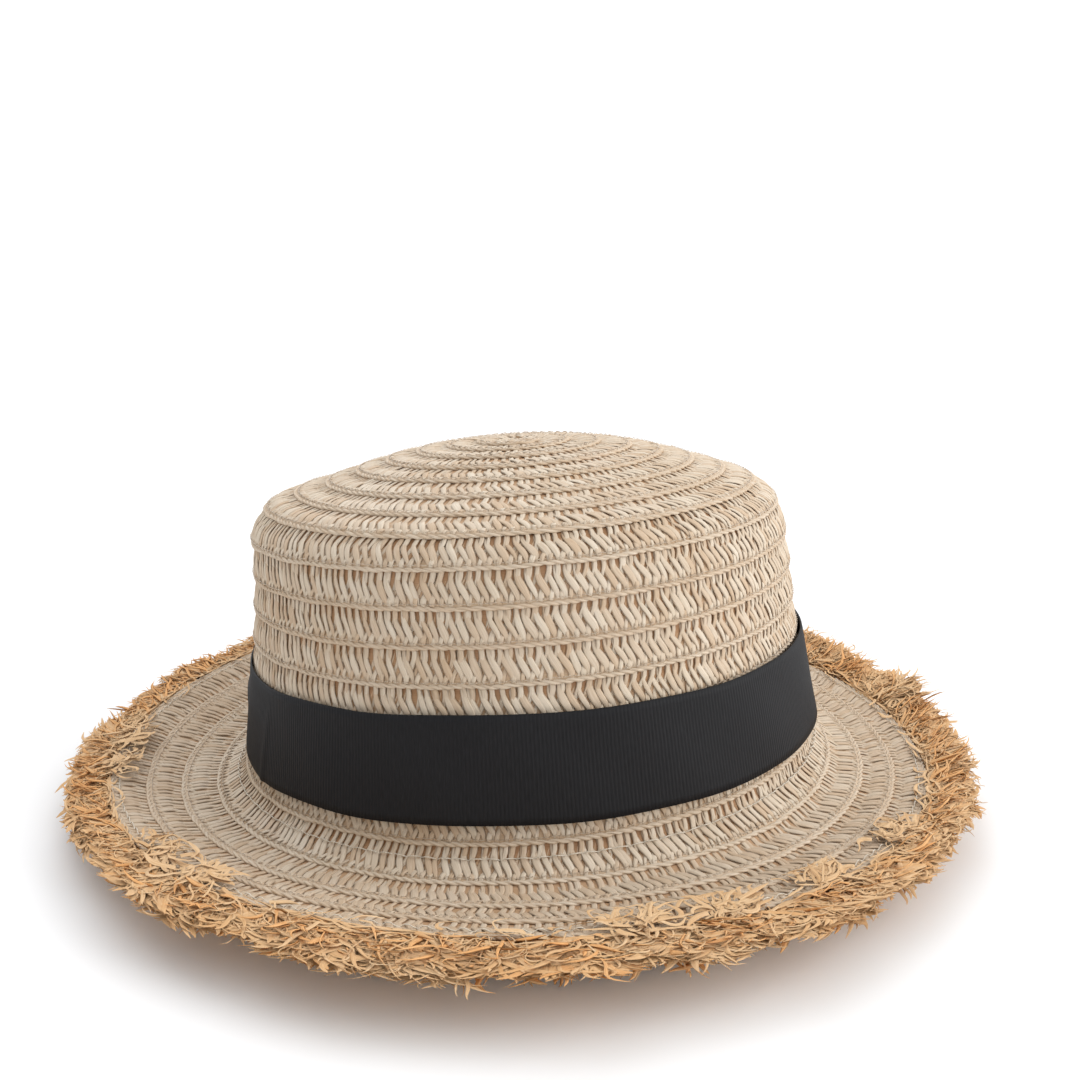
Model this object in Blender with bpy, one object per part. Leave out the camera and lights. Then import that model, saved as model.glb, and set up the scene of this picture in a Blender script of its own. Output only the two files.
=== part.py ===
"""Straw sun hat: sewn braid crown and brim, ribbon band, sweatband and raffia fringe.

Units are metres, +Z is up, -Y is the front of the hat, and the origin is under the
middle of the hat on the surface it rests on.

The straw body is one long plaited strip, wound in a clockwise spiral (seen from above)
from the middle of the tip to the edge of the brim. Each turn laps over the one after
it like a roof shingle, so the strip's lower edge is always the one that shows. Every
turn is a piece of its own, cut at the middle of the back.

A place on the hat is given by three numbers:
  travel  distance along the hat's side view, from the middle of the tip outward
  lift    height above the outer envelope that the lower edges of the turns touch
  angle   direction around the hat, 0 at +X and -pi/2 at the front
"""

import bisect
import math

import bmesh
import bpy
from mathutils import Vector

# ---------------------------------------------------------------- driving dimensions

BAND_RADIUS = 0.0905          # half width of the crown where it meets the brim
ROOT_HEIGHT = 0.0208          # that place above the resting surface
OVAL_EXTRA = 0.011            # a head is longer than it is wide: most that length adds
OVAL_FADE = 0.023             # and how fast that fades towards the middle of the tip

PITCH = 0.00992               # width that each turn of the braid shows
LAP = 0.0028                  # width that it hides under the turn before it
STRAW = 0.0016                # thickness of the plaited strip
GAP = 0.0003                  # clearance between pieces that touch
TURNS = 20                    # turns from the tip to the brim's edge
TAPER_TURN = 0.14             # part of the last turn that is cut to a point
TAPER_CUT = 0.94              # share of its shown width cut away at the very end

CROWN_LEAN_LEFT = math.radians(3.1)    # the soft crown leans towards -X
CROWN_LEAN_BACK = math.radians(2.0)    # and a little towards +Y
LEAN_PIVOT = 0.022                     # height of the leaning's centre above the foot
BRIM_SIDE_DROP = 0.0023                # the brim's sides dip, its front and back rise
BRIM_FRONT_RISE = 0.0014               # and the front is turned up a little more

RIBBON_RISE = 0.0274          # height of the ribbon
RIBBON_TOP_RADIUS = 0.0888
RIBBON_FOOT_RADIUS = 0.0920
RIBBON_CLOTH = 0.0008
RIBBON_LAP = math.radians(9)
RIBBON_JOIN = math.radians(90)

SWEATBAND_RISE = 0.029
SWEATBAND_BELOW_FOOT = 0.002  # how far it passes the crown's foot
SWEATBAND_CLOTH = 0.0008
SWEATBAND_LAP = math.radians(7)
SWEATBAND_JOIN = math.radians(84)

LABEL_WIDTH = 0.026
LABEL_RISE = 0.015
LABEL_CLOTH = 0.0005
LABEL_ABOVE_FOOT = 0.004
LABEL_ANGLE = math.radians(110)

FRINGE_RADIUS = 0.144         # half width of the trimmed fringe
FRINGE_TIP_TOP = 0.0150       # top and underside of the fringe at its tips
FRINGE_TIP_UNDER = 0.0080
FRINGE_FOOT_RADIUS = 0.138    # the fringe is flat underneath out to here
FRINGE_SHOULDER_DROP = 0.0005 # the fringe leaves the edge just below the straw's face
HEADING_WIDTH = 0.008         # tape that holds the fringe's strands
HEADING_CLOTH = 0.0012

THREAD_WIDTH = 0.0006
THREAD_LIFT = 0.0004
SWEATBAND_STITCH = 0.0068     # stitch lines, measured back from a turn's lower edge
FRINGE_STITCH = 0.0030
RIBBON_STITCH = 0.002         # measured from the ribbon's lapped end
STITCH_MARGIN = 0.06          # share of the ribbon's height left free at each end

SEGMENTS = 36                 # facets around a full-size turn
SMALL_SEGMENTS = 18           # facets around the small turns at the tip
SMALL_TURNS = 4

# Side view of the envelope, from the middle of the tip to the brim's edge, in millimetres
# out from the axis and up from the foot of the crown.
SIDE_VIEW = (
    (0.0, 88.0), (15.0, 87.8), (30.0, 86.5), (46.6, 83.1), (66.2, 76.8), (76.6, 72.2),
    (82.3, 65.2), (84.1, 55.2), (85.1, 45.3), (85.9, 35.6), (87.5, 20.0), (89.6, 6.0),
    (90.7, -2.0), (93.4, -7.6), (99.5, -10.9), (108.0, -11.2), (119.0, -9.3),
    (129.2, -6.9), (138.0, -4.8),
)
SIDE_STEPS = 24               # curve steps between two of those points
MILLIMETRE = 0.001

BACK = math.pi / 2
FRONT = -math.pi / 2
TURN = 2 * math.pi


# ---------------------------------------------------------------- the hat's side view

def curve_between(before, start, end, after, t):
    """Catmull-Rom curve from start to end."""
    def blend(a, b, c, d):
        return 0.5 * (2 * b + (c - a) * t + (2 * a - 5 * b + 4 * c - d) * t * t
                      + (3 * b - a - 3 * c + d) * t * t * t)
    return tuple(blend(*values) for values in zip(before, start, end, after))


def side_curve():
    """The side view as closely spaced points, with the travel to each."""
    first = SIDE_VIEW[1]
    points = [(-first[0], first[1])] + list(SIDE_VIEW)
    last, previous = SIDE_VIEW[-1], SIDE_VIEW[-2]
    points.append((2 * last[0] - previous[0], 2 * last[1] - previous[1]))
    curve = []
    for index in range(1, len(points) - 2):
        for step in range(SIDE_STEPS):
            curve.append(curve_between(*points[index - 1:index + 3], step / SIDE_STEPS))
    curve.append(last)
    curve = [(out * MILLIMETRE, up * MILLIMETRE) for out, up in curve]
    travels = [0.0]
    for (out_a, up_a), (out_b, up_b) in zip(curve, curve[1:]):
        travels.append(travels[-1] + math.hypot(out_b - out_a, up_b - up_a))
    return curve, travels


CURVE, TRAVELS = side_curve()


def envelope(travel):
    """Distance from the axis, height above the crown's foot and outward normal."""
    index = bisect.bisect_right(TRAVELS, travel) - 1
    index = min(max(index, 0), len(CURVE) - 2)
    span = TRAVELS[index + 1] - TRAVELS[index]
    t = (travel - TRAVELS[index]) / span
    (out_a, up_a), (out_b, up_b) = CURVE[index], CURVE[index + 1]
    before = CURVE[max(index - 1, 0)]
    after = CURVE[min(index + 2, len(CURVE) - 1)]
    run = (1 - t) * (out_b - before[0]) + t * (after[0] - out_a)
    rise = (1 - t) * (up_b - before[1]) + t * (after[1] - up_a)
    size = math.hypot(run, rise)
    return out_a + t * (out_b - out_a), up_a + t * (up_b - up_a), -rise / size, run / size


EDGE_TRAVEL = PITCH * TURNS


def foot_travel():
    """Travel at which the envelope passes the crown's foot."""
    for travel, (out, up) in zip(TRAVELS, CURVE):
        if up <= 0:
            return travel
    return EDGE_TRAVEL


FOOT_TRAVEL = foot_travel()


def oval(out, up, angle, crown_share):
    """Point at a distance out and a height up, on the leaning oval hat."""
    length = out + OVAL_EXTRA * out / (abs(out) + OVAL_FADE)
    x = out * math.cos(angle)
    y = length * math.sin(angle)
    z = up - LEAN_PIVOT
    left, back = CROWN_LEAN_LEFT * crown_share, CROWN_LEAN_BACK * crown_share
    x, z = x * math.cos(left) - z * math.sin(left), z * math.cos(left) + x * math.sin(left)
    y, z = y * math.cos(back) + z * math.sin(back), z * math.cos(back) - y * math.sin(back)
    z -= BRIM_SIDE_DROP * (1 - crown_share) * math.cos(2 * angle)
    frontness = 0.5 * (1 - math.sin(angle))
    z += BRIM_FRONT_RISE * (1 - crown_share ** 2) * frontness ** 4
    return x, y, z + LEAN_PIVOT + ROOT_HEIGHT


def crown_share(travel):
    """1 on the crown, falling to 0 at the brim's edge."""
    share = (EDGE_TRAVEL - travel) / (EDGE_TRAVEL - FOOT_TRAVEL)
    return min(max(share, 0.0), 1.0)


def place(travel, lift, angle):
    out, up, normal_out, normal_up = envelope(travel)
    return oval(out + lift * normal_out, up + lift * normal_up, angle, crown_share(travel))


# ---------------------------------------------------------------- making solids

def material(name, colour, roughness, metallic=0.0):
    made = bpy.data.materials.new(name)
    made.use_nodes = True
    shader = made.node_tree.nodes["Principled BSDF"]
    shader.inputs["Base Color"].default_value = (*colour, 1.0)
    shader.inputs["Roughness"].default_value = roughness
    shader.inputs["Metallic"].default_value = metallic
    return made


def add_object(name, mesh_data, made_material):
    mesh = bpy.data.meshes.new(name)
    mesh_data.to_mesh(mesh)
    mesh_data.free()
    mesh.materials.append(made_material)
    mesh.shade_smooth()
    mesh.set_sharp_from_angle(angle=math.radians(35))
    thing = bpy.data.objects.new(name, mesh)
    bpy.context.collection.objects.link(thing)
    return thing


def swept(mesh_data, sections, closed):
    """Add a bar through the given sections, which are loops of the same length."""
    rings = [[mesh_data.verts.new(point) for point in section] for section in sections]
    pairs = list(zip(rings, rings[1:]))
    if closed:
        pairs.append((rings[-1], rings[0]))
    else:
        mesh_data.faces.new(rings[0])
        mesh_data.faces.new(reversed(rings[-1]))
    count = len(rings[0])
    for ring, following in pairs:
        for index in range(count):
            after = (index + 1) % count
            mesh_data.faces.new((ring[after], ring[index], following[index], following[after]))


def finished(mesh_data):
    bmesh.ops.recalc_face_normals(mesh_data, faces=mesh_data.faces)
    return mesh_data


def bar(name, sections, made_material, closed=False):
    mesh_data = bmesh.new()
    swept(mesh_data, sections, closed)
    return add_object(name, finished(mesh_data), made_material)


# ---------------------------------------------------------------- straw braid

SHINGLE_SLOPE = (STRAW + GAP) / PITCH
STRIP_WIDTH = PITCH + LAP
HOLE_TRAVEL = 0.002           # the small hole at the very start of the spiral


def strip_travels(turns):
    """Travel of the strip's upper edge, its two lap lines and its lower edge."""
    lower = PITCH * turns
    upper = max(lower - STRIP_WIDTH, HOLE_TRAVEL)
    return [upper, upper + 0.25 * (lower - upper), lower - 0.25 * (lower - upper), lower]


def lap_travels(turns):
    """As strip_travels, with lines where the strip meets its neighbours' edges."""
    lower = PITCH * turns
    if lower - STRIP_WIDTH < HOLE_TRAVEL:
        return strip_travels(turns)
    return [lower - STRIP_WIDTH, lower - PITCH, lower - LAP, lower]


def strip_top(travel, turns):
    """Lift of the strip's upper face: its lower edge stands proudest."""
    return -SHINGLE_SLOPE * (PITCH * turns - travel)


def taper(turns):
    """Share of the shown width cut away where the last turn runs out."""
    left = (TURNS + 0.5 - turns) / TAPER_TURN
    return TAPER_CUT * (1 - min(max(left, 0.0), 1.0))


def strip_section(turns):
    angle = FRONT - TURN * turns
    travels = lap_travels(turns)
    if turns > TURNS + 0.5 - TAPER_TURN:
        travels[3] -= taper(turns) * PITCH
        travels[2] = min(travels[2], travels[3] - 0.25 * (travels[3] - travels[1]))
    upper = [place(travel, strip_top(travel, turns), angle) for travel in travels]
    under = [place(travel, strip_top(travel, turns) - STRAW, angle) for travel in travels]
    return upper + under[::-1]


def braid_turn(number, made_material):
    """One turn of the spiral, cut at the middle of the back."""
    segments = SMALL_SEGMENTS if number <= SMALL_TURNS else SEGMENTS
    out = envelope(PITCH * number)[0]
    half_cut = 0.5 * GAP / (TURN * out)
    sections = []
    for step in range(segments + 1):
        turns = number - 0.5 + step / segments
        if step == 0:
            turns += half_cut
        if step == segments:
            turns -= half_cut
        sections.append(strip_section(turns))
    return bar(f"braid_turn_{number:02d}", sections, made_material)


BUTTON_TRAVEL = 0.0062
BUTTON_TOP = 0.72             # the flat top's share of the button's width
BUTTON_SIDE = 0.6             # the upright side's share of its height
BUTTON_SEGMENTS = 18


def tip_button(made_material):
    """The tight coil that the braid starts from, a low round cap on the tip."""
    mesh_data = bmesh.new()
    levels = ((BUTTON_TOP, STRAW + GAP), (1.0, BUTTON_SIDE * STRAW + GAP), (1.0, GAP))
    rings = []
    for share, lift in levels:
        ring = []
        for step in range(BUTTON_SEGMENTS):
            angle = TURN * step / BUTTON_SEGMENTS
            ring.append(mesh_data.verts.new(place(BUTTON_TRAVEL * share, lift, angle)))
        rings.append(ring)
    for ring, following in zip(rings, rings[1:]):
        for index in range(BUTTON_SEGMENTS):
            after = (index + 1) % BUTTON_SEGMENTS
            mesh_data.faces.new((ring[index], following[index], following[after], ring[after]))
    mesh_data.faces.new(rings[0])
    mesh_data.faces.new(reversed(rings[-1]))
    return add_object("tip_button", finished(mesh_data), made_material)


# ---------------------------------------------------------------- ribbon and sweatband

def lapped_angles(join, lap):
    """Angles of a band that starts at its join, goes once round and laps over itself."""
    angles = [join + TURN * step / SEGMENTS for step in range(SEGMENTS + 1)]
    angles.append(join + TURN + lap)
    return angles


def rise_at_lap(angle, join, step_out):
    """How far the free end stands off, so that it clears the band's start beneath it."""
    ease = 3 * TURN / SEGMENTS
    share = (angle - (join + TURN - ease)) / ease
    return step_out * min(max(share, 0.0), 1.0)


def hat_ribbon(made_material):
    """Petersham ribbon round the foot of the crown, ends lapped at the back."""
    sections = []
    for angle in lapped_angles(RIBBON_JOIN, RIBBON_LAP):
        proud = rise_at_lap(angle, RIBBON_JOIN, RIBBON_CLOTH + 2 * GAP)
        top, foot = RIBBON_TOP_RADIUS + proud, RIBBON_FOOT_RADIUS + proud
        sections.append([
            oval(top, RIBBON_RISE, angle, 1.0),
            oval(foot, 0.0, angle, 1.0),
            oval(foot - RIBBON_CLOTH, 0.0, angle, 1.0),
            oval(top - RIBBON_CLOTH, RIBBON_RISE, angle, 1.0),
        ])
    return bar("hat_ribbon", sections, made_material)


BRAID_DEPTH = SHINGLE_SLOPE * STRIP_WIDTH + STRAW


def sweatband(made_material):
    """Cloth band against the head, inside the foot of the crown, ends lapped."""
    outer_lift = -(BRAID_DEPTH + 3 * GAP)
    top_travel = FOOT_TRAVEL - SWEATBAND_RISE + SWEATBAND_BELOW_FOOT
    levels = 3
    sections = []
    for angle in lapped_angles(SWEATBAND_JOIN, SWEATBAND_LAP):
        inward = rise_at_lap(angle, SWEATBAND_JOIN, SWEATBAND_CLOTH + 2 * GAP)
        outer, inner = [], []
        for level in range(levels + 1):
            travel = top_travel + SWEATBAND_RISE * level / levels
            outer.append(place(travel, outer_lift - inward, angle))
            inner.append(place(travel, outer_lift - inward - SWEATBAND_CLOTH, angle))
        sections.append(outer + inner[::-1])
    return bar("sweatband", sections, made_material)


def care_label(made_material):
    """Blank folded label, sewn to the sweatband beside its join."""
    lift = -(BRAID_DEPTH + SWEATBAND_CLOTH + 5 * GAP)
    length = oval(BAND_RADIUS, 0.0, BACK, 1.0)[1]
    half_angle = 0.5 * LABEL_WIDTH / length
    low = FOOT_TRAVEL - LABEL_ABOVE_FOOT
    sections = []
    for step in range(4):
        angle = LABEL_ANGLE - half_angle + 2 * half_angle * step / 3
        sections.append([
            place(low - LABEL_RISE, lift, angle),
            place(low, lift, angle),
            place(low, lift - LABEL_CLOTH, angle),
            place(low - LABEL_RISE, lift - LABEL_CLOTH, angle),
        ])
    return bar("care_label", sections, made_material)


# ---------------------------------------------------------------- brim edge

def edge_turns(angle):
    """Turn count at which the spiral passes this angle for the last time."""
    share = 1.0 - ((angle - BACK) / TURN) % 1.0
    return TURNS - 0.5 + share


def edge_travel(angle):
    """Travel of the brim's outer edge, where the last turn is also tapered away."""
    turns = edge_turns(angle)
    return PITCH * (turns - taper(turns))


def fringe_heading(made_material):
    """Woven tape under the brim's edge, which holds the strands of the fringe."""
    sections = []
    for step in range(SEGMENTS):
        angle = BACK + TURN * step / SEGMENTS
        edge = edge_travel(angle)
        turns = edge_turns(angle)
        section = []
        for travel, thickness in (
            (edge - HEADING_WIDTH, 0.0), (edge, 0.0),
            (edge, HEADING_CLOTH), (edge - HEADING_WIDTH, HEADING_CLOTH),
        ):
            lift = strip_top(travel, turns) - STRAW - GAP - thickness
            section.append(place(travel, lift, angle))
        sections.append(section)
    return bar("fringe_heading", sections, made_material, closed=True)


def raffia_fringe(made_material):
    """The loose strands as one soft ring, flat underneath where the hat rests."""
    sections = []
    for step in range(SEGMENTS):
        angle = BACK + TURN * step / SEGMENTS
        edge = edge_travel(angle)
        turns = edge_turns(angle)
        under = strip_top(edge - HEADING_WIDTH, turns) - STRAW - HEADING_CLOTH - 2 * GAP
        root = place(edge - HEADING_WIDTH, under, angle)
        lip_under = strip_top(edge, turns) - STRAW - HEADING_CLOTH - 2 * GAP
        lip = place(edge + GAP, lip_under, angle)
        shoulder = place(edge + 2 * GAP, -FRINGE_SHOULDER_DROP, angle)
        tip = oval(FRINGE_RADIUS, 0.0, angle, 0.0)
        foot = oval(FRINGE_FOOT_RADIUS, 0.0, angle, 0.0)
        sections.append([
            root, lip, shoulder,
            (tip[0], tip[1], FRINGE_TIP_TOP), (tip[0], tip[1], FRINGE_TIP_UNDER),
            (foot[0], foot[1], 0.0), (root[0], root[1], 0.0),
        ])
    return bar("raffia_fringe", sections, made_material, closed=True)


# ---------------------------------------------------------------- sewing thread

def on_strip(turns, travel, lift):
    """Point above the flat middle facet of the strip's upper face."""
    near, far = lap_travels(turns)[1:3]
    angle = FRONT - TURN * turns
    start = Vector(place(near, strip_top(near, turns) + lift, angle))
    end = Vector(place(far, strip_top(far, turns) + lift, angle))
    return start.lerp(end, (travel - near) / (far - near))


def thread_line(name, start_turns, end_turns, back_from_edge, made_material):
    """Sewing thread along the spiral, a set distance from the lower edge of a turn."""
    sections = []
    for step in range(SEGMENTS + 1):
        turns = start_turns + (end_turns - start_turns) * step / SEGMENTS
        middle = PITCH * turns - back_from_edge
        near, far = middle - 0.5 * THREAD_WIDTH, middle + 0.5 * THREAD_WIDTH
        low, high = 1.5 * GAP, 1.5 * GAP + THREAD_LIFT
        sections.append([
            on_strip(turns, near, low), on_strip(turns, far, low),
            on_strip(turns, far, high), on_strip(turns, near, high),
        ])
    return bar(name, sections, made_material)


def ribbon_thread(made_material):
    """Thread up the ribbon's lapped end, which holds it down."""
    end = RIBBON_JOIN + TURN + RIBBON_LAP
    inset = RIBBON_STITCH / RIBBON_FOOT_RADIUS
    sections = []
    for share in (STITCH_MARGIN, 1 - STITCH_MARGIN):
        out = RIBBON_FOOT_RADIUS + (RIBBON_TOP_RADIUS - RIBBON_FOOT_RADIUS) * share
        out += RIBBON_CLOTH + 3 * GAP
        half_angle = 0.5 * THREAD_WIDTH / out
        height = RIBBON_RISE * share
        sections.append([
            oval(out, height, end - inset - half_angle, 1.0),
            oval(out, height, end - inset + half_angle, 1.0),
            oval(out + THREAD_LIFT, height, end - inset + half_angle, 1.0),
            oval(out + THREAD_LIFT, height, end - inset - half_angle, 1.0),
        ])
    return bar("ribbon_thread", sections, made_material)


# ---------------------------------------------------------------- the whole hat

def build():
    for thing in list(bpy.data.objects):
        bpy.data.objects.remove(thing, do_unlink=True)

    straw = material("straw", (0.78, 0.68, 0.50), 0.6)
    ribbon_cloth = material("ribbon_cloth", (0.03, 0.03, 0.035), 0.8)
    band_cloth = material("band_cloth", (0.72, 0.66, 0.55), 0.85)
    label_satin = material("label_satin", (0.88, 0.87, 0.84), 0.4)
    raffia = material("raffia", (0.62, 0.42, 0.22), 0.65)
    clear_thread = material("clear_thread", (0.85, 0.82, 0.74), 0.3)
    dark_thread = material("dark_thread", (0.04, 0.04, 0.045), 0.6)

    tip_button(straw)
    for number in range(1, TURNS + 1):
        braid_turn(number, straw)
    hat_ribbon(ribbon_cloth)
    ribbon_thread(dark_thread)
    sweatband(band_cloth)
    thread_line("sweatband_thread", TURNS - 3.47, TURNS - 2.53, SWEATBAND_STITCH, clear_thread)
    care_label(label_satin)
    fringe_heading(raffia)
    raffia_fringe(raffia)
    thread_line("fringe_thread", TURNS - 0.47, TURNS + 0.34, FRINGE_STITCH, clear_thread)


build()
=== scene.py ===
"""Looks of the straw sun hat: plaited straw, ribbon, sweatband, threads and raffia fringe.

Everything is in metres in the CAD model's frame: +Z up, -Y the hat's front, origin on the
surface the hat rests on. A place on the hat is given as in the CAD source:
  travel  distance along the hat's side view, from the middle of the tip outward
  lift    height above the envelope that the lower edges of the braid's turns touch
  angle   direction around the hat, 0 at +X and -pi/2 at the front
Lengths inside a plait are in millimetres until they are placed on the hat.
"""

import math

import bpy
import numpy as np
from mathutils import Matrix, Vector


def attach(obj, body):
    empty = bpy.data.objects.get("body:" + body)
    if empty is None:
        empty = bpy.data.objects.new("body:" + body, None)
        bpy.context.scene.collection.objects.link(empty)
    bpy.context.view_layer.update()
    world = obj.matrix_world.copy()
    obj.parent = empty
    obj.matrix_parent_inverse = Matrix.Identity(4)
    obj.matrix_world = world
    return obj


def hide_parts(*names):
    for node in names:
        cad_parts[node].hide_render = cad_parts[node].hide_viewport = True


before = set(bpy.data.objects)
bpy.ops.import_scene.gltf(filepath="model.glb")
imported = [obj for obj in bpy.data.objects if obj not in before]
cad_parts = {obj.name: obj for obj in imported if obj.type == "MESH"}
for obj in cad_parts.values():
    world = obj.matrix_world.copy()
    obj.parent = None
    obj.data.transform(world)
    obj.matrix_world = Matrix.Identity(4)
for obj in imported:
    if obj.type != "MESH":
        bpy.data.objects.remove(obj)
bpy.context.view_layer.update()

MM = 0.001
TURN = 2 * math.pi
FRONT = -math.pi / 2
BACK = math.pi / 2

# ---- the hat's dimensions

ROOT_HEIGHT = 0.0208  # the crown's foot above the rest surface
OVAL_EXTRA = 0.011  # the front and back reach this much further than the sides
OVAL_FADE = 0.023  # near the middle of the tip the oval turns into a circle
PITCH = 0.00992  # width that shows of each turn of the strip
LAP = 0.0028  # width of it that the next turn hides
STRAW = 0.0016  # its thickness
GAP = 0.0003
TURNS = 20
TAPER_TURN = 0.14  # share of a turn in which the strip's outer end narrows
TAPER_CUT = 0.94  # share of its shown width that is gone at the end
CROWN_LEAN_LEFT = math.radians(3.1)
CROWN_LEAN_BACK = math.radians(2.0)
LEAN_PIVOT = 0.022  # height about which the crown leans
BRIM_SIDE_DROP = 0.0023
BRIM_FRONT_RISE = 0.0014
RIBBON_RISE = 0.0274
RIBBON_TOP_RADIUS = 0.0888
RIBBON_FOOT_RADIUS = 0.0920
RIBBON_CLOTH = 0.0008
RIBBON_LAP = math.radians(9)
RIBBON_JOIN = BACK
RIBBON_BEND = 96.5  # mean radius in millimetres, for the ribs and the weave
SWEATBAND_RISE = 0.029
SWEATBAND_CLOTH = 0.0008
SWEATBAND_LAP = math.radians(7)
SWEATBAND_JOIN = math.radians(84)
SWEATBAND_BELOW_FOOT = 0.002
SWEATBAND_BEND = 90.0  # the same for its weave
LABEL_WIDTH = 0.026
LABEL_RISE = 0.015
LABEL_ANGLE = math.radians(110)
LABEL_ABOVE_FOOT = 0.004
LABEL_BEND = 0.0995  # distance from the hat's middle
HEADING_WIDTH = 0.008
HEADING_CLOTH = 0.0012

# The side view from the middle of the tip to the brim's edge, in millimetres out and up.
SIDE_VIEW = (
    (0.0, 88.0), (15.0, 87.8), (30.0, 86.5), (46.6, 83.1), (66.2, 76.8), (76.6, 72.2),
    (82.3, 65.2), (84.1, 55.2), (85.1, 45.3), (85.9, 35.6), (87.5, 20.0), (89.6, 6.0),
    (90.7, -2.0), (93.4, -7.6), (99.5, -10.9), (108.0, -11.2), (119.0, -9.3),
    (129.2, -6.9), (138.0, -4.8),
)
SIDE_STEPS = 24
SHINGLE_SLOPE = (STRAW + GAP) / PITCH
STRIP_WIDTH = PITCH + LAP
BRAID_DEPTH = SHINGLE_SLOPE * STRIP_WIDTH + STRAW
HOLE_TRAVEL = 0.002  # the first turn leaves this much open for the button
EDGE_TRAVEL = PITCH * TURNS


# ---- camera

CAMERA_DOWN = 12.29  # degrees that the camera looks down


def added(name, data):
    thing = bpy.data.objects.new(name, data)
    bpy.context.collection.objects.link(thing)
    return thing


def add_camera():
    data = bpy.data.cameras.new("camera")
    data.sensor_width = 36.0
    data.lens = 39.1
    data.clip_start = 0.01
    data.clip_end = 200.0
    camera = added("camera", data)
    camera.location = (0.0035, -0.3698, 0.1562)
    camera.rotation_euler = (math.radians(90 - CAMERA_DOWN), 0.0, math.radians(-0.12))
    bpy.context.scene.camera = camera


add_camera()


# ---- places on the hat

def side_curve():
    """The side view as closely spaced points: travel, out, up and the outward normal."""
    first = SIDE_VIEW[1]
    last, previous = SIDE_VIEW[-1], SIDE_VIEW[-2]
    points = [(-first[0], first[1])] + list(SIDE_VIEW)
    points.append((2 * last[0] - previous[0], 2 * last[1] - previous[1]))
    points = np.array(points) * MM
    t = (np.arange(SIDE_STEPS) / SIDE_STEPS)[:, None]
    runs = []
    for index in range(1, len(points) - 2):
        a, b, c, d = points[index - 1:index + 3]
        runs.append(0.5 * (2 * b + (c - a) * t + (2 * a - 5 * b + 4 * c - d) * t * t
                           + (3 * b - a - 3 * c + d) * t * t * t))
    curve = np.vstack(runs + [points[-2][None]])
    steps = np.diff(curve, axis=0)
    travel = np.concatenate([[0.0], np.cumsum(np.hypot(steps[:, 0], steps[:, 1]))])
    slope = np.gradient(curve, travel, axis=0)
    slope /= np.linalg.norm(slope, axis=1)[:, None]
    return travel, curve[:, 0], curve[:, 1], -slope[:, 1], slope[:, 0]


CURVE = side_curve()
FOOT_TRAVEL = CURVE[0][np.argmax(CURVE[2] <= 0)]


def oval(out, up, angle, share):
    """Points at a distance out and a height up, on the leaning oval hat, as rows of xyz."""
    out, up, angle, share = np.broadcast_arrays(out, up, angle, share)
    length = out + OVAL_EXTRA * out / (np.abs(out) + OVAL_FADE)
    x = out * np.cos(angle)
    y = length * np.sin(angle)
    z = up - LEAN_PIVOT
    left, back = CROWN_LEAN_LEFT * share, CROWN_LEAN_BACK * share
    x, z = x * np.cos(left) - z * np.sin(left), z * np.cos(left) + x * np.sin(left)
    y, z = y * np.cos(back) + z * np.sin(back), z * np.cos(back) - y * np.sin(back)
    z = z - BRIM_SIDE_DROP * (1 - share) * np.cos(2 * angle)
    frontness = 0.5 * (1 - np.sin(angle))
    z = z + BRIM_FRONT_RISE * (1 - share ** 2) * frontness ** 4
    return np.stack([x, y, z + LEAN_PIVOT + ROOT_HEIGHT], axis=-1)


def place(travel, lift, angle):
    """Points on the hat, as rows of xyz."""
    out, up, normal_out, normal_up = (np.interp(travel, CURVE[0], row) for row in CURVE[1:])
    share = np.clip((EDGE_TRAVEL - travel) / (EDGE_TRAVEL - FOOT_TRAVEL), 0.0, 1.0)
    return oval(out + lift * normal_out, up + lift * normal_up, angle, share)


def strip_top(travel, turns):
    """Lift of the strip's upper face: each turn slopes in under the one outside it."""
    return -SHINGLE_SLOPE * (PITCH * turns - travel)


def taper(turns):
    """Share of the shown width that is cut from the strip's lower edge at its outer end."""
    left = (TURNS + 0.5 - turns) / TAPER_TURN
    return TAPER_CUT * (1 - np.clip(left, 0.0, 1.0))


def edge_turns(angle):
    """Turn count of the strip where it forms the brim's edge."""
    return TURNS - 0.5 + 1.0 - ((angle - BACK) / TURN) % 1.0


def edge_travel(angle):
    turns = edge_turns(angle)
    return PITCH * (turns - taper(turns))


# ---- meshes from arrays

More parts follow.
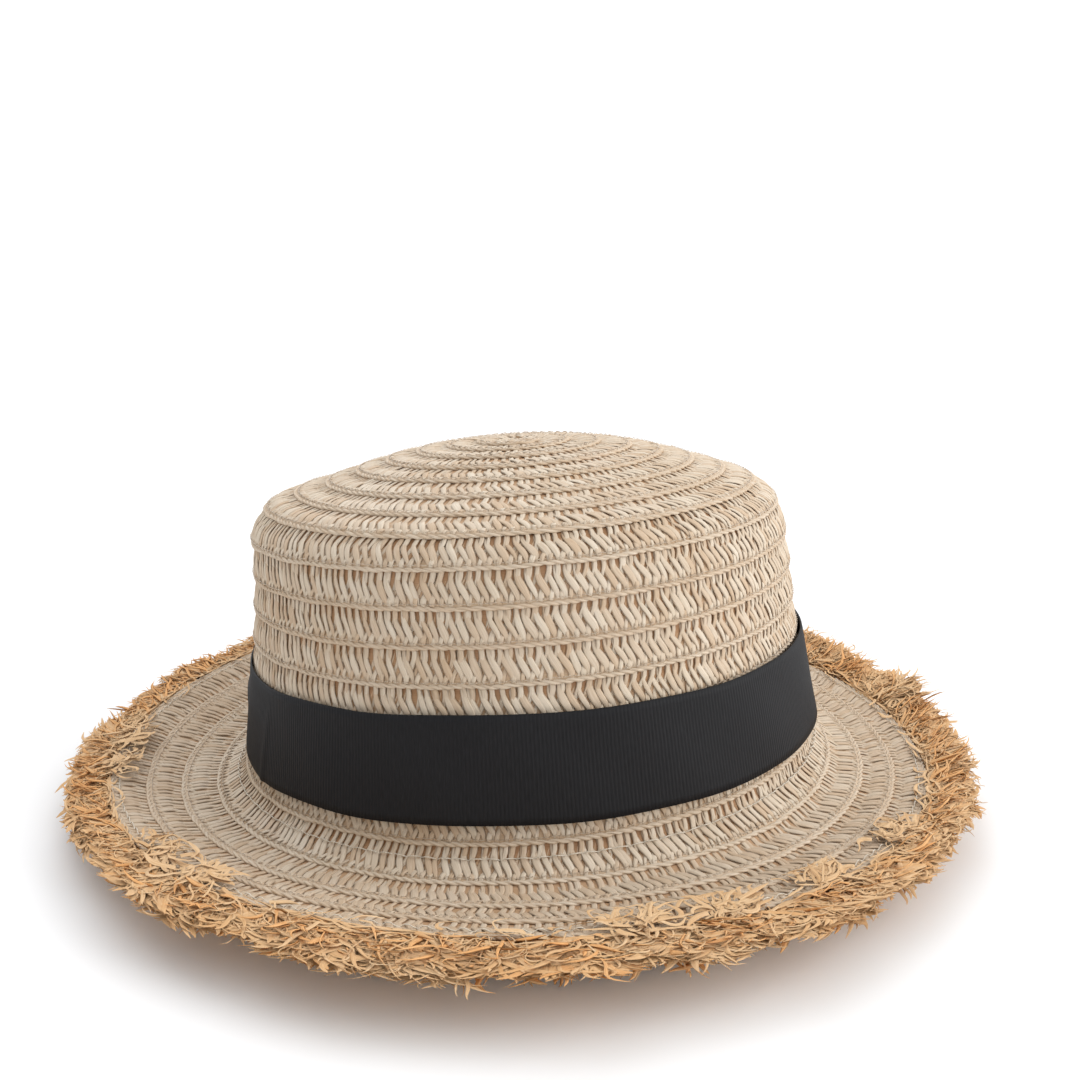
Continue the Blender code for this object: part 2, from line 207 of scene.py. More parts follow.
class Solids:
    """Gathers many small closed tubes and sheets, then makes one object of them."""

    def __init__(self):
        self.points, self.faces, self.strand, self.tone = [], [], [], []
        self.count = 0

    def tubes(self, points, strand, tone):
        """Tubes as an array (tube, step, corner, xyz); strand holds (along, across)."""
        tubes, steps, corners = points.shape[:3]
        base = self.count + (np.arange(tubes) * steps * corners)[:, None, None]
        step = (np.arange(steps - 1) * corners)[:, None]
        corner = np.arange(corners)
        after = (corner + 1) % corners
        a, b = base + step + corner, base + step + after
        quads = np.stack(np.broadcast_arrays(b, a, a + corners, b + corners), axis=-1)
        self.faces.append(quads.reshape(-1, 4))
        first = base[:, 0]
        self.faces.append(first + corner)
        self.faces.append(first + (steps - 1) * corners + corner[::-1])
        self.points.append(points.reshape(-1, 3))
        self.strand.append(strand.reshape(-1, 2))
        self.tone.append(np.broadcast_to(tone[:, None], points.shape[:3]).reshape(-1))
        self.count += tubes * steps * corners

    def made(self, name, material):
        """The object, with each strand's tone and its own coordinates."""
        points = np.concatenate(self.points)
        tone = np.concatenate(self.tone)
        strand = np.concatenate(self.strand)
        loops = np.concatenate([face.reshape(-1) for face in self.faces])
        sizes = np.concatenate([np.full(len(face), face.shape[1]) for face in self.faces])
        starts = np.concatenate([[0], np.cumsum(sizes)[:-1]])
        mesh = bpy.data.meshes.new(name)
        mesh.vertices.add(len(points))
        mesh.vertices.foreach_set("co", points.astype(np.float32).reshape(-1))
        mesh.loops.add(len(loops))
        mesh.loops.foreach_set("vertex_index", loops.astype(np.int32))
        mesh.polygons.add(len(sizes))
        mesh.polygons.foreach_set("loop_start", starts.astype(np.int32))
        mesh.polygons.foreach_set("loop_total", sizes.astype(np.int32))
        mesh.update(calc_edges=True)
        mesh.validate()
        layer = mesh.attributes.new("tone", "FLOAT", "POINT")
        layer.data.foreach_set("value", tone.astype(np.float32))
        uv = mesh.uv_layers.new(name="strand")
        uv.data.foreach_set("uv", strand[loops].astype(np.float32).reshape(-1))
        mesh.polygons.foreach_set("use_smooth", np.full(len(sizes), True))
        mesh.materials.append(material)
        return added(name, mesh)


def soften(piece, share, lean):
    """Turn normals toward straight up or down, as light spreads through thin loose fibre."""
    mesh = piece.data
    normals = np.empty(3 * len(mesh.vertices), np.float32)
    mesh.vertex_normals.foreach_get("vector", normals)
    normals = normals.reshape(-1, 3)
    flat = np.zeros_like(normals)
    flat[:, 2] = np.tanh(4 * (normals[:, 2] + lean))
    normals = (1 - share) * normals + share * flat
    normals /= np.linalg.norm(normals, axis=1)[:, None]
    layer = mesh.attributes.new("custom_normal", "FLOAT_VECTOR", "POINT")
    layer.data.foreach_set("vector", normals.reshape(-1))


# Cross-sections of flat strands, one unit wide and about one high.
LENS = np.array([(-0.5, 0.0), (0.0, -0.45), (0.5, 0.0), (0.0, 0.55)])
ROUNDED = np.array([(-0.5, 0.0), (-0.2, -0.4), (0.2, -0.4), (0.5, 0.0), (0.0, 0.6)])
PRISM = np.array([(-0.5, -0.3), (0.5, -0.3), (0.0, 0.6)])
BLADE = np.array([(-0.5, 0.1), (0.0, -0.35), (0.5, 0.1), (0.0, 0.45)])


def grooved(groove):
    """Cross-section of a strand that is folded to leave a groove along its top."""
    return np.array([(-0.5, 0.0), (0.0, -0.35), (0.5, 0.0), (0.27, 0.62),
                     (0.0, 0.62 - groove), (-0.27, 0.62)])


def ring(corners):
    """Cross-section of a round strand, one unit across."""
    around = TURN * np.arange(corners) / corners
    return np.stack([0.5 * np.cos(around), 0.5 * np.sin(around)], axis=-1)


def bulge(value, middle, reach):
    """A smooth rise to one at the middle, which fades over the reach."""
    return np.exp(-((value - middle) / reach) ** 2)


# ---- materials

WHITE = (1.0, 1.0, 1.0)


def node_material(name, roughness):
    """A new material with its node tree and its shader node."""
    material = bpy.data.materials.new(name)
    material.use_nodes = True
    tree = material.node_tree
    shader = tree.nodes["Principled BSDF"]
    shader.inputs["Roughness"].default_value = roughness
    return material, tree, shader


def ramp(tree, source, stops):
    """Colours between the stops, picked by the source's factor."""
    node = tree.nodes.new("ShaderNodeValToRGB")
    elements = node.color_ramp.elements
    while len(elements) < len(stops):
        elements.new(0.5)
    for element, (at, colour) in zip(elements, stops):
        element.position = at
        element.color = (*colour, 1.0)
    tree.links.new(source.outputs["Fac"], node.inputs["Fac"])
    return node.outputs["Color"]


def noise_at(tree, vector, scale, detail=3.0):
    noise = tree.nodes.new("ShaderNodeTexNoise")
    noise.inputs["Scale"].default_value = scale
    noise.inputs["Detail"].default_value = detail
    tree.links.new(vector, noise.inputs["Vector"])
    return noise


def stretched_noise(tree, scale_along, scale_across, detail=3.0):
    """Noise drawn out along the strand, from the strand's own coordinates."""
    uv = tree.nodes.new("ShaderNodeUVMap")
    uv.uv_map = "strand"
    mapping = tree.nodes.new("ShaderNodeMapping")
    mapping.inputs["Scale"].default_value = (scale_along, scale_across, 1.0)
    tree.links.new(uv.outputs["UV"], mapping.inputs["Vector"])
    return noise_at(tree, mapping.outputs["Vector"], 1.0, detail)


def object_noise(tree, scale):
    """Noise that runs through the whole hat."""
    where = tree.nodes.new("ShaderNodeTexCoord")
    return noise_at(tree, where.outputs["Object"], scale)


def mixed(tree, factor, first, second):
    """The first colour multiplied by the second, as far as the factor says."""
    node = tree.nodes.new("ShaderNodeMix")
    node.data_type = "RGBA"
    node.blend_type = "MULTIPLY"
    node.inputs[0].default_value = factor
    tree.links.new(first, node.inputs[6])
    tree.links.new(second, node.inputs[7])
    return node.outputs[2]


def add_bump(tree, shader, noise, distance):
    """Shallow relief that follows the noise."""
    bump = tree.nodes.new("ShaderNodeBump")
    bump.inputs["Distance"].default_value = distance
    bump.inputs["Strength"].default_value = 0.5
    tree.links.new(noise.outputs["Fac"], bump.inputs["Height"])
    tree.links.new(bump.outputs["Normal"], shader.inputs["Normal"])


def strand_material(name, stops, streak, patch, roughness):
    """Fibre drawn out along each strand: a tone for each one, streaks and soft patches."""
    material, tree, shader = node_material(name, roughness)
    tone = tree.nodes.new("ShaderNodeAttribute")
    tone.attribute_name = "tone"
    base = ramp(tree, tone, stops)
    fibre = stretched_noise(tree, 0.16, 5.0)
    streaks = ramp(tree, fibre, ((0.32, streak), (0.62, WHITE)))
    streaked = mixed(tree, 0.8, base, streaks)
    cloud = object_noise(tree, 38.0)
    patches = ramp(tree, cloud, ((0.35, patch), (0.65, WHITE)))
    tree.links.new(mixed(tree, 0.6, streaked, patches), shader.inputs["Base Color"])
    shader.inputs["Specular IOR Level"].default_value = 0.2
    add_bump(tree, shader, fibre, 0.00012)
    return material


# Colours of the strands, from the deepest to the fairest. The deepest straw tones are painted
# shade, for the backing sheet and the inner strands seen in the gaps.
STRAW_TONES = ((0.0, (0.38, 0.215, 0.115)), (0.12, (0.49, 0.31, 0.185)),
               (0.3, (0.60, 0.455, 0.32)), (0.6, (0.66, 0.555, 0.44)),
               (1.0, (0.72, 0.635, 0.525)))
# Raffia tones: deep orange for strands low in the mass, pale for the top ones, as painted
# shade.
# Their orange stands for light passing through the strands above, over each strand's random
# tone.
RAFFIA_TONES = ((0.0, (0.75, 0.42, 0.19)), (0.25, (0.74, 0.475, 0.25)),
                (0.6, (0.74, 0.51, 0.30)), (1.0, (0.81, 0.59, 0.37)))
# A brighter, warmer copy for the strands beneath and the core: painted light that lifts their
# shade.
GLOW_TONES = ((0.0, (0.83, 0.46, 0.20)), (0.5, (0.80, 0.505, 0.265)))
RAFFIA_FIBRE = ((0.80, 0.68, 0.52), (0.94, 0.88, 0.80), 0.9)  # streak, patch, roughness

straw = strand_material("straw", STRAW_TONES, (0.80, 0.73, 0.64), (0.92, 0.89, 0.84), 0.65)
raffia = strand_material("raffia", RAFFIA_TONES, *RAFFIA_FIBRE)
glow_raffia = strand_material("glow_raffia", GLOW_TONES, *RAFFIA_FIBRE)


def thread_material(name, dark, light):
    """Smooth nylon, its colour patched along the thread from painted shade to painted glints.
    """
    material, tree, shader = node_material(name, 0.28)
    shade_and_glint = stretched_noise(tree, 1.3, 1.0)
    tint = ramp(tree, shade_and_glint, ((0.35, dark), (0.7, light)))
    tree.links.new(tint, shader.inputs["Base Color"])
    shader.inputs["Specular IOR Level"].default_value = 0.6
    return material


def grosgrain_material(name, dark, light, roughness):
    """Woven cloth with weft threads; a ribbon's ribs are in its mesh."""
    material, tree, shader = node_material(name, roughness)
    weft = stretched_noise(tree, 0.35, 3.2, detail=4.0)
    tint = ramp(tree, weft, ((0.3, dark), (0.75, light)))
    cloud = object_noise(tree, 45.0)
    patches = ramp(tree, cloud, ((0.3, (0.86, 0.86, 0.88)), (0.7, WHITE)))
    tree.links.new(mixed(tree, 0.8, tint, patches), shader.inputs["Base Color"])
    shader.inputs["Specular IOR Level"].default_value = 0.17
    add_bump(tree, shader, weft, 0.00008)
    return material


# Each thread's light colour is painted glints; the seam thread's dark brown is painted shade.
seam_thread = thread_material("seam_thread", (0.30, 0.19, 0.11), (0.74, 0.66, 0.54))
clear_thread = thread_material("clear_thread", (0.60, 0.52, 0.41), (0.78, 0.72, 0.62))
ribbon_cloth = grosgrain_material("ribbon_cloth", (0.0095, 0.0095, 0.0108),
                                  (0.0165, 0.0165, 0.0185), 0.6)
band_cloth = grosgrain_material("band_cloth", (0.50, 0.43, 0.32), (0.68, 0.61, 0.49), 0.85)
label_satin = grosgrain_material("label_satin", (0.74, 0.72, 0.68), (0.84, 0.83, 0.80), 0.4)
dark_thread = grosgrain_material("dark_thread", (0.012, 0.012, 0.014),
                                 (0.03, 0.03, 0.033), 0.5)


# ---- plaited straw

SHOULDER_TURN = 9  # the turns before it make the tip
FIRST_BRIM_TURN = 17
ELEMENT = 2.5  # spacing of the plait's floats along the strip
FULL_WIDTH = STRIP_WIDTH / MM
SHOWN = PITCH / MM
FULLNESS = 0.4  # how far the plait stands above the CAD strips' undersides
FLATTEN = 0.6  # each turn's lower edge is pressed toward the next turn
SWAY = 0.30  # how far the strands drift to and fro along the strip
CLOSE_PLAIT = 1.18  # strands on the tip and the brim are spread flatter
# How far the crown's left side stands out, where, and how widely.
LEFT_SWELLS = ((0.0024, 8.3 * PITCH, 1.3 * PITCH),
               (0.0005, FOOT_TRAVEL - RIBBON_RISE, 1.5 * PITCH))
INNER_SHADED_TONES = (0.10, 0.42)  # darkest and lightest inner strands, as places in STRAW_TONES; kept dark as painted shade
INSIDE_TONES = (0.35, 0.75)
BRIM_SHADE_FAIREST = {18: 0.75, 19: 0.62, 20: 0.62}  # the outer brim's strands are capped darker, as painted shade

# Middle lines of the strands: (to the right, up from the strip's lower edge, height, width).
# Falling strands lie on top in the lower half of the strip, rising ones in the upper half.
FALLING = np.array([
    (0.10, 12.6, 0.80, 1.20), (0.06, 11.0, 0.92, 1.30), (-0.02, 9.6, 0.98, 1.40),
    (0.04, 8.4, 1.00, 1.50), (0.30, 7.2, 1.10, 1.68), (0.84, 6.0, 1.28, 1.86),
    (1.48, 4.9, 1.30, 1.90), (2.04, 3.8, 1.20, 1.80), (2.38, 2.8, 1.00, 1.55),
    (2.48, 1.9, 0.78, 1.25), (2.52, 1.1, 0.50, 0.95),
])
RISING = np.array([
    (2.72, 12.6, 1.28, 1.25), (2.86, 11.2, 1.42, 1.35), (2.98, 9.8, 1.44, 1.40),
    (2.94, 8.6, 1.32, 1.40), (2.66, 7.4, 1.04, 1.40), (2.20, 6.2, 0.78, 1.40),
    (1.66, 5.0, 0.62, 1.35), (1.16, 3.9, 0.72, 1.35), (0.82, 3.0, 1.04, 1.40),
    (0.62, 2.1, 1.14, 1.34), (0.54, 1.2, 0.80, 1.10),
])
INNER = np.array([
    (2.50, 12.4, 0.50, 0.80), (2.10, 9.6, 0.62, 0.80), (1.20, 7.4, 0.66, 0.95),
    (0.10, 5.0, 0.60, 1.50), (-0.80, 3.2, 0.52, 1.70), (-1.50, 1.3, 0.40, 1.45),
])
# The strands on the strip's inner face, which cross in the same way.
INSIDE_FALLING = np.array([
    (0.0, 12.3, 0.14, 1.4), (0.3, 9.8, 0.12, 1.6), (1.0, 7.3, 0.05, 1.8),
    (1.8, 4.8, -0.06, 1.8), (2.3, 2.6, -0.06, 1.5), (2.5, 1.0, 0.10, 1.1),
])
INSIDE_RISING = np.array([
    (2.6, 12.3, 0.10, 1.4), (2.9, 9.8, -0.06, 1.7), (2.3, 7.3, -0.06, 1.8),
    (1.4, 4.8, 0.05, 1.8), (0.9, 2.6, 0.12, 1.5), (0.6, 1.0, 0.14, 1.1),
])


def strip_length(number):
    """Turn counts along one turn of the strip, and the length in millimetres to each."""
    turns = np.linspace(number - 0.5, number + 0.5, 721)
    middle = np.maximum(PITCH * turns - 0.5 * PITCH, HOLE_TRAVEL)
    points = place(middle, 0.0, FRONT - TURN * turns)
    steps = np.linalg.norm(np.diff(points, axis=0), axis=1)
    return turns, np.concatenate([[0.0], np.cumsum(steps)]) / MM


def left_swell(travel, angle):
    """The crown's left side is pressed out at the shoulder and just above the ribbon."""
    leftward = np.clip(-np.cos(angle), 0.0, 1.0) ** 3
    return leftward * sum(out * bulge(travel, *where) for out, *where in LEFT_SWELLS)


def on_strip(line, right, up, height):
    """Strip coordinates in millimetres, placed on the turn that line measures."""
    turns = np.interp(-right, line[1], line[0])
    cut = taper(turns)
    lower = PITCH * (turns - cut)
    upper = np.maximum(PITCH * turns - STRIP_WIDTH, HOLE_TRAVEL)
    travel = lower - (lower - upper) * np.clip(up / FULL_WIDTH, -0.02, 1.0)
    raised = height + FULLNESS + FLATTEN * (up / SHOWN - 0.5)
    lift = strip_top(travel, turns) - STRAW + raised * MM
    angle = FRONT - TURN * turns
    return place(travel, lift + left_swell(travel, angle), angle)


def sweep(paths, section, thick):
    """Tubes in strip coordinates from middle lines (tube, step, 4) and a section."""
    right, up, height, width = (paths[..., i] for i in range(4))
    d_right = np.gradient(right, axis=1)
    d_up = np.gradient(up, axis=1)
    size = np.maximum(np.hypot(d_right, d_up), 1e-6)
    side_right, side_up = -d_up / size, d_right / size
    across = section[:, 0] * width[..., None]
    raised = section[:, 1] * thick[:, None, None]
    return (right[..., None] + side_right[..., None] * across,
            up[..., None] + side_up[..., None] * across,
            height[..., None] + raised)


def strand_marks(paths, section, offset):
    """(along, across) in millimetres, moved by a different amount on each strand."""
    steps = np.hypot(np.diff(paths[..., 0], axis=1), np.diff(paths[..., 1], axis=1))
    along = np.concatenate([np.zeros((len(paths), 1)), np.cumsum(steps, axis=1)], axis=1)
    along = along[..., None] + np.zeros(len(section))
    across = section[:, 0] * paths[..., 3][..., None]
    return np.stack([along + 40.0 * offset[:, None, None],
                     across + 17.0 * offset[:, None, None]], axis=-1)


def smooth_random(random, count, reach):
    """Slowly varying values from about -1 to 1 along the strip."""
    raw = random.normal(size=count + 2 * reach)
    window = np.hanning(2 * reach + 1)
    return np.convolve(raw, window / np.sqrt((window ** 2).sum()), "valid")[:count]


def strands(random, starts, template, loose, section, thick):
    """Copies of one strand along the strip, each a little different."""
    count = len(starts)
    paths = np.repeat(template[None], count, axis=0)
    along = np.linspace(0, 1, len(template))[None]

    def drawn():
        return random.normal(size=(count, 1))

    bend = drawn() * np.sin(math.pi * along)
    bend += 0.8 * drawn() * np.sin(TURN * along)
    bend += 1.1 * drawn().clip(-1.8, 1.8) * (1 - along) ** 2
    paths[..., 0] += starts[:, None] + loose * (0.6 * bend + 0.8 * drawn())
    paths[..., 2] += 0.07 * drawn().clip(-2, 2)
    broad = 1 + 0.14 * drawn().clip(-2, 2)
    paths[..., 3] *= broad + 0.10 * drawn() * np.cos(math.pi * along)
    thick = thick * (1 + 0.12 * random.normal(size=count).clip(-2, 2))
    right, up, height = sweep(paths, section, thick)
    return right, up, height, strand_marks(paths, section, random.uniform(0, 50, count))


def plaited_turn(number):
    """One turn of plaited strip: crossing strands, a selvedge cord and a backing in painted
    shade.
    """
    random = np.random.default_rng(100 + number)
    line = strip_length(number)
    length = line[1][-1]
    count = max(int(round(length / ELEMENT)), 8)
    spacing = length / count
    starts = -length + spacing * (np.arange(count) + 0.2)
    sway = smooth_random(random, count, 10)
    solids = Solids()
    close = number < SHOULDER_TURN or number > FIRST_BRIM_TURN
    # Each strand's tone is drawn at random; on the outer brim the fairest are left out as
    # painted shade.
    tones_and_brim_shade = (0.35, BRIM_SHADE_FAIREST.get(number, 1.0))

    def lay(template, section, loose, thick, tones):
        shaped = template.copy()
        shaped[:, 0] *= spacing / ELEMENT
        shaped[:, 3] *= CLOSE_PLAIT if close else 1.0
        right, up, height, marks = strands(random, starts, shaped, loose, section, thick)
        right = right + SWAY * sway[:, None, None] * np.sin(up / SHOWN * math.pi)
        tone = random.uniform(*tones, count)[:, None] * np.ones(len(section))
        solids.tubes(on_strip(line, np.clip(right, -length, 0.0), up, height), marks, tone)

    # The inner strands, seen in the gaps, are toned dark as painted shade.
    lay(INNER, ROUNDED, loose=0.45, thick=0.40, tones=INNER_SHADED_TONES)
    lay(FALLING, grooved(0.22), loose=0.32, thick=0.44, tones=tones_and_brim_shade)
    lay(RISING, grooved(0.20), loose=0.30, thick=0.42, tones=tones_and_brim_shade)
    add_selvedge(solids, random, line, length, spacing, count)
    add_shade_backing(solids, line, count, close)
    lay(INSIDE_FALLING, LENS, loose=0.30, thick=0.40, tones=INSIDE_TONES)
    lay(INSIDE_RISING, LENS, loose=0.30, thick=0.40, tones=INSIDE_TONES)
    piece = solids.made(f"straw_turn_{number:02d}", straw)
    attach(piece, "root")
    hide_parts(f"braid_turn_{number:02d}")


CORD_UP = 0.66  # middle of the selvedge cord above the strip's lower edge
CORD_HEIGHT = 0.62
CORD_RADIUS = 0.46
CORD_SPREAD = (0.32, 0.24)  # how far each ply lies from that middle, up and in height
CORD_STEPS = 5  # points for each element of the plait
CORD_TWIST = 2.3  # elements in one turn of the two plies
CORD_TONES = (0.45, 0.75)


def add_selvedge(solids, random, line, length, spacing, count):
    """Two strands twisted into the cord that edges the strip."""
    steps = count * CORD_STEPS + 1
    right = np.linspace(-length, 0.0, steps)
    twist = TURN * right / (CORD_TWIST * spacing) + 1.2 * smooth_random(random, steps, 30)
    wobble = 0.10 * smooth_random(random, steps, 14)
    section = ring(6)
    for ply in range(2):
        phase = twist + math.pi * ply
        up = CORD_UP + wobble + CORD_SPREAD[0] * np.cos(phase)
        height = CORD_HEIGHT + CORD_SPREAD[1] * np.sin(phase)
        broad = 1 + 0.12 * smooth_random(random, steps, 6)
        paths = np.stack([right, up, height, 2 * CORD_RADIUS * broad], axis=-1)[None]
        swept = sweep(paths, section, np.array([2 * CORD_RADIUS * 0.9]))
        marks = strand_marks(paths, section, random.uniform(0, 50, 1))
        tone = np.full((1, len(section)), random.uniform(*CORD_TONES))
        solids.tubes(on_strip(line, *swept), marks, tone)


# The backing sheet's section: (up from the strip's lower edge, height, place in STRAW_TONES).
# Its brown is painted shade, darkest just under the edge of the turn above.
SHADE_BACKING = np.array([
    (0.7, 0.20, 0.10), (0.7, 0.76, 0.34), (2.4, 0.80, 0.28), (5.2, 0.74, 0.15),
    (7.2, 0.80, 0.07), (8.8, 0.88, 0.03), (10.0, 1.10, 0.03), (12.5, 1.20, 0.08),
    (12.5, 0.20, 0.10), (8.5, 0.22, 0.10), (4.0, 0.22, 0.10),
])
CLOSE_LESS_SHADE = 0.12  # on the tip and the brim its painted shade is lighter, and the sheet fuller
CLOSE_FULLER = 0.25


def add_shade_backing(solids, line, count, close):
    """A brown sheet in the plait, coloured as painted shade, seen between the strands."""
    turns = np.linspace(line[0][0], line[0][-1], max(count, 24) + 1)
    right = -np.interp(turns, line[0], line[1])
    up, height, tone = SHADE_BACKING.T
    # Its painted shade is lighter on the tip and the brim.
    if close:
        height = height + CLOSE_FULLER * (height > 0.5)
        tone = tone + CLOSE_LESS_SHADE
    right, up, height = np.broadcast_arrays(right[None, :, None], up, height)
    marks = np.stack([right, up], axis=-1)
    solids.tubes(on_strip(line, right, up, height), marks, tone[None])


for turn_number in range(1, TURNS + 1):
    plaited_turn(turn_number)


BUTTON_WINDINGS = 2.7
BUTTON_RADIUS = 0.0056
BUTTON_STRAND = 0.00085  # half thickness of the coiled strand
BUTTON_SINK = 0.0011  # the coil's depth in the tip, which grows outward
BUTTON_DROP = 0.0004


def tip_button():
    """The start of the braid, coiled tightly in a low knot on the tip."""
    solids = Solids()
    random = np.random.default_rng(7)
    t = np.linspace(0, 1, 110)
    radius = BUTTON_RADIUS * t
    angle = TURN * BUTTON_WINDINGS * t
    around = TURN * np.arange(8) / 8
    travel = radius[:, None] + 1.15 * BUTTON_STRAND * np.cos(around)
    ripple = 1 + 0.14 * np.sin(angle * 9)[:, None]
    lift = -BUTTON_SINK - BUTTON_DROP * t[:, None] + BUTTON_STRAND * np.sin(around) * ripple
    points = place(np.abs(travel), lift, angle[:, None] + math.pi * (travel < 0))
    marks = np.stack(np.broadcast_arrays((angle * 3)[:, None], around), axis=-1)
    solids.tubes(points[None], marks[None], np.array([[random.uniform(0.6, 0.8)]]))
    piece = solids.made("button_coil", straw)
    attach(piece, "root")
    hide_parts("tip_button")


tip_button()


# ---- sewing threads

# Millimetres above a turn's lower edge, height on the plait, depth of the dips into it,
# stitch length and thread radius.
SEAM = dict(up=1.75, lie=1.62, dip=0.9, stitch=2.6, radius=0.10)
SWEATBAND_SEAM = dict(up=7.0, lie=2.25, dip=1.2, stitch=4.2, radius=0.16)
FRINGE_SEAM = dict(up=2.6, lie=2.0, dip=1.2, stitch=4.2, radius=0.16)


def thread_tube(solids, line, first, last, up, lie, dip, stitch, radius):
    """A running chain of stitches that surfaces between dips into the straw."""
    steps = max(int((last - first) / stitch) * 4, 8)
    right = np.linspace(first, last, steps + 1)
    phase = (right / stitch) % 1.0
    height = lie - dip * bulge(phase, 0.5, 0.16)
    wave = up + 0.10 * np.sin(TURN * right / (2 * stitch))
    paths = np.stack([right, wave, height, np.full(len(right), 2 * radius)], axis=-1)[None]
    section = ring(4)
    swept = sweep(paths, section, np.array([2 * radius]))
    marks = strand_marks(paths, section, np.array([0.0]))
    solids.tubes(on_strip(line, *swept), marks, np.array([[0.5]]))


def braid_seams():
    """The clear chain stitch that joins each turn to the next."""
    solids = Solids()
    for number in range(1, TURNS):
        line = strip_length(number)
        thread_tube(solids, line, -line[1][-1], 0.0, **SEAM)
    piece = solids.made("braid_seam_thread", seam_thread)
    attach(piece, "root")


def stitch_line(name, node, number, seam, end_share):
    """The stitches along one turn, which end at a share of its length."""
    solids = Solids()
    line = strip_length(number)
    length = line[1][-1]
    thread_tube(solids, line, -length * end_share, -0.02 * length, **seam)
    piece = solids.made(name, clear_thread)
    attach(piece, "root")
    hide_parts(node)


braid_seams()
stitch_line("sweatband_stitches", "sweatband_thread", FIRST_BRIM_TURN, SWEATBAND_SEAM, 0.97)
stitch_line("fringe_stitches", "fringe_thread", TURNS, FRINGE_SEAM, 0.84)


# ---- ribbon and sweatband

def band_grid(join, lap, steps, rows):
    """Angles and levels over a lapped band, and how far its lap has stepped aside."""
    angle = np.linspace(join, join + TURN + lap, steps + 1)
    ease = TURN / 12
    aside = np.clip((angle - (join + TURN - ease)) / ease, 0.0, 1.0)[:, None]
    angles, levels = np.meshgrid(angle, np.linspace(0, 1, rows), indexing="ij")
    return angles, levels, aside


def ribbon_radius(level):
    return RIBBON_FOOT_RADIUS + (RIBBON_TOP_RADIUS - RIBBON_FOOT_RADIUS) * level


def sheet_mesh(name, outer, inner, marks, material, tone=0.5):
    """A closed cloth sheet from its outer and inner faces (step, level, xyz)."""
    solids = Solids()
    section = np.concatenate([outer, inner[:, ::-1]], axis=1)
    both = np.concatenate([marks, marks[:, ::-1]], axis=1)
    solids.tubes(section[None], both[None], np.array([[tone]]))
    return solids.made(name, material)


RIB = 1.07  # spacing of the ribbon's ribs, in millimetres
RIB_STEPS = 4  # points round the ribbon for each rib
PUCKER_ANGLE = math.radians(213)
FRONT_RISE_ANGLE = math.radians(268)
LEFT_DIP_ANGLE = math.radians(212)
LEFT_ANGLE = math.radians(172)  # where it is drawn in, with a crease across


def hat_ribbon():
    """Grosgrain ribbon with upright ribs, drawn round the crown with a few soft waves."""
    steps = int(TURN * RIBBON_BEND / RIB) * RIB_STEPS
    angles, levels, aside = band_grid(RIBBON_JOIN, RIBBON_LAP, steps, 15)
    rib = 0.07 * MM * np.cos(TURN * np.arange(steps + 1) / RIB_STEPS)[:, None]
    rib = rib * np.clip(np.minimum(levels, 1 - levels) * 18, 0.25, 1.0)
    wave = 0.16 * MM * np.sin(7 * angles + 1.3) * np.sin(2.2 * levels + 0.5)
    wave = wave + 0.12 * MM * np.sin(17 * angles + 5 * levels)
    pucker = 0.45 * MM * bulge(angles - PUCKER_ANGLE - 0.05 * levels, 0.0, 0.02)
    pucker = pucker * np.clip(1.4 - 1.5 * levels, 0, 1)
    proud = (RIBBON_CLOTH + 2 * GAP) * aside
    sway = 0.25 * MM * np.sin(5 * angles) + 0.15 * MM * np.sin(11 * angles + 2)
    around = np.mod(angles, TURN)
    front_rise = 1.4 * MM * bulge(around, FRONT_RISE_ANGLE, 0.38)
    left_dip = 1.0 * MM * bulge(around, LEFT_DIP_ANGLE, 0.40)
    up = RIBBON_RISE * levels + sway + front_rise - left_dip
    leftness = np.clip(np.cos(angles - LEFT_ANGLE), 0, 1) ** 2
    hug = 0.55 * MM * (1 + np.cos(angles)) * levels
    hug = hug + 1.4 * MM * leftness * (0.5 + 0.5 * levels)
    fold = 1.1 * MM * leftness ** 4 * bulge(levels, 0.62, 0.11)
    out = ribbon_radius(levels) + proud + wave + pucker + rib + fold - hug
    outer = oval(out, up, angles, 1.0)
    inner = oval(out - 0.55 * MM, up, angles, 1.0)
    marks = np.stack([levels * RIBBON_RISE / MM, angles * RIBBON_BEND], axis=-1)
    piece = sheet_mesh("ribbon_band", outer, inner, marks, ribbon_cloth)
    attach(piece, "root")
    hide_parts("hat_ribbon")


def sweatband():
    """Woven band inside the foot of the crown, hemmed along both edges."""
    angles, levels, aside = band_grid(SWEATBAND_JOIN, SWEATBAND_LAP, 360, 12)
    inward = (SWEATBAND_CLOTH + 2 * GAP) * aside
    travel = FOOT_TRAVEL - SWEATBAND_RISE + SWEATBAND_BELOW_FOOT + SWEATBAND_RISE * levels
    ripple = 0.14 * MM * np.sin(23 * angles) * np.sin(math.pi * levels)
    lift = -(BRAID_DEPTH + 3 * GAP) - inward - 0.15 * MM + ripple
    hem = 0.12 * MM * (bulge(levels, 0.06, 0.04) + bulge(levels, 0.94, 0.04))
    outer = place(travel, lift, angles)
    inner = place(travel, lift - 0.5 * MM - hem, angles)
    marks = np.stack([levels * SWEATBAND_RISE / MM, angles * SWEATBAND_BEND], axis=-1)
    piece = sheet_mesh("sweatband_cloth", outer, inner, marks, band_cloth)
    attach(piece, "root")
    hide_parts("sweatband")


